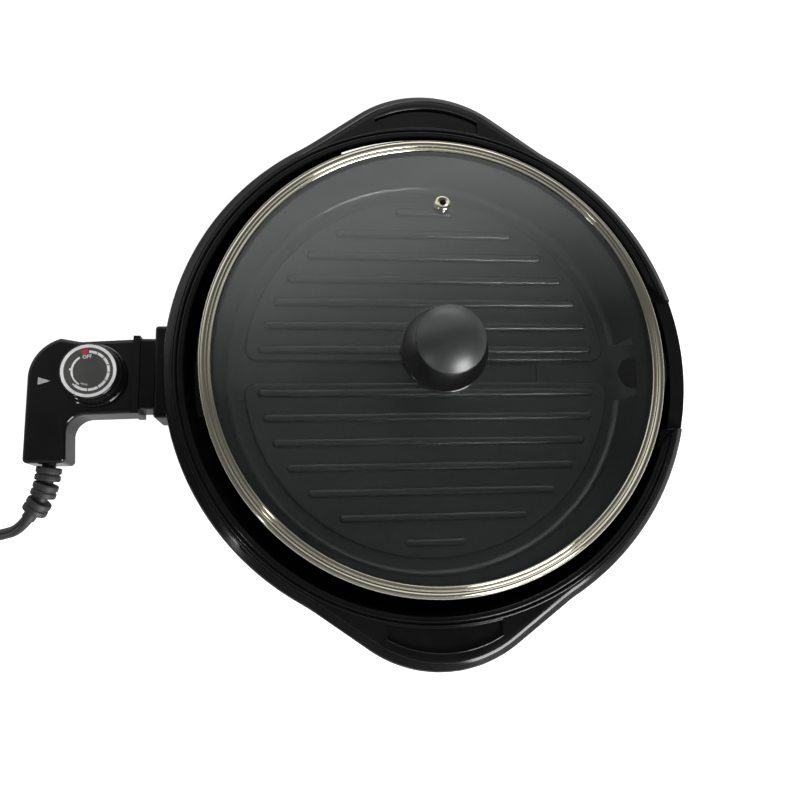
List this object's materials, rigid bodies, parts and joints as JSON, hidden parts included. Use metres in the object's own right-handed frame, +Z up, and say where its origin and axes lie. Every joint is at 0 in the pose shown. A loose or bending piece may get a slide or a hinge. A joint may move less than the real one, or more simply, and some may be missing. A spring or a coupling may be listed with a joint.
{
  "type": "electric skillet",
  "caption": "Round electric skillet with a ridged grill pan, glass lid with steel rim, two side handles, pull-out drip tray and a plug-in thermostat probe with a turning dial.",
  "frame": {"origin": "middle of the appliance's footprint, without its cord, on the table under the rubber feet", "axes": "+Z up; +X from the plug-in probe towards the drip tray; the two handles lie along Y"},
  "size_m": [0.6614, 0.4161, 0.138],
  "materials": {
    "base_plastic": "satin black heat-resistant moulding",
    "non_stick": "cast aluminium with a speckled dark non-stick coat",
    "heater_steel": "oxidised steel sheath",
    "bright_steel": "plated steel",
    "ceramic": "glazed ceramic, moulding stands in for it",
    "sheet_aluminium": "plain sheet",
    "black_rubber": "soft black",
    "clear_glass": "clear tempered glass",
    "ring_steel": "polished stainless band",
    "knob_plastic": "satin black",
    "gloss_black": "glossy black",
    "grey_print": "light grey mark",
    "contact_brass": "brass",
    "brown_moulding": "brown thermoset moulding",
    "dial_print": "black face with white print"
  },
  "bodies": {
    "base": {"base_shell": "base_plastic", "grill_pan": "non_stick", "drain_spout": "non_stick", "grill_plate": "non_stick", "heating_element": "heater_steel", "terminal_pins": "bright_steel", "pin_insulators": "ceramic", "terminal_bracket": "bright_steel", "heat_shield": "sheet_aluminium", "pan_screws": "bright_steel", "rubber_feet": "black_rubber", "guard_screws": "bright_steel", "socket_guard": "base_plastic"},
    "lid": {"lid_glass": "clear_glass", "lid_ring": "ring_steel", "vent_eyelet": "ring_steel", "lid_knob": "knob_plastic", "knob_collar": "knob_plastic", "knob_washer": "bright_steel", "knob_screw": "bright_steel"},
    "drip_tray": {"drip_tray": "base_plastic"},
    "probe": {"probe_top_shell": "gloss_black", "probe_bottom_shell": "gloss_black", "dial_pointer": "grey_print", "probe_screws": "bright_steel", "shaft_bush": "contact_brass", "sensing_rod": "bright_steel", "female_contacts": "contact_brass", "contact_block": "brown_moulding", "thermostat_frame": "bright_steel", "bimetal_blade": "contact_brass", "contact_blade": "contact_brass", "cord_clamp": "brown_moulding", "cord_clamp_screws": "bright_steel", "terminal_tails": "contact_brass", "inner_lead": "black_rubber", "strain_relief": "black_rubber", "mains_cord": "black_rubber", "cord_coil": "black_rubber", "cord_tie": "black_rubber", "plug_lead": "black_rubber", "plug_body": "black_rubber", "plug_pins": "contact_brass"},
    "dial": {"dial": "gloss_black", "dial_disc": "dial_print", "dial_shaft": "bright_steel"}
  },
  "joints": [
    {"name": "lid_lift", "type": "slide", "parent": "base", "child": "lid", "axis": [0, 0, 1], "range_m": [0, 0.12]},
    {"name": "probe_pull", "type": "slide", "parent": "base", "child": "probe", "axis": [-1, 0, 0], "range_m": [0, 0.09]},
    {"name": "dial_turn", "type": "hinge", "parent": "probe", "child": "dial", "pos_m": [-0.17675, -0.0017, 0.045], "axis": [0, 0, 1], "range_deg": [-203, 77]},
    {"name": "tray_slide", "type": "slide", "parent": "base", "child": "drip_tray", "axis": [1, 0, 0], "range_m": [0, 0.06]}
  ]
}
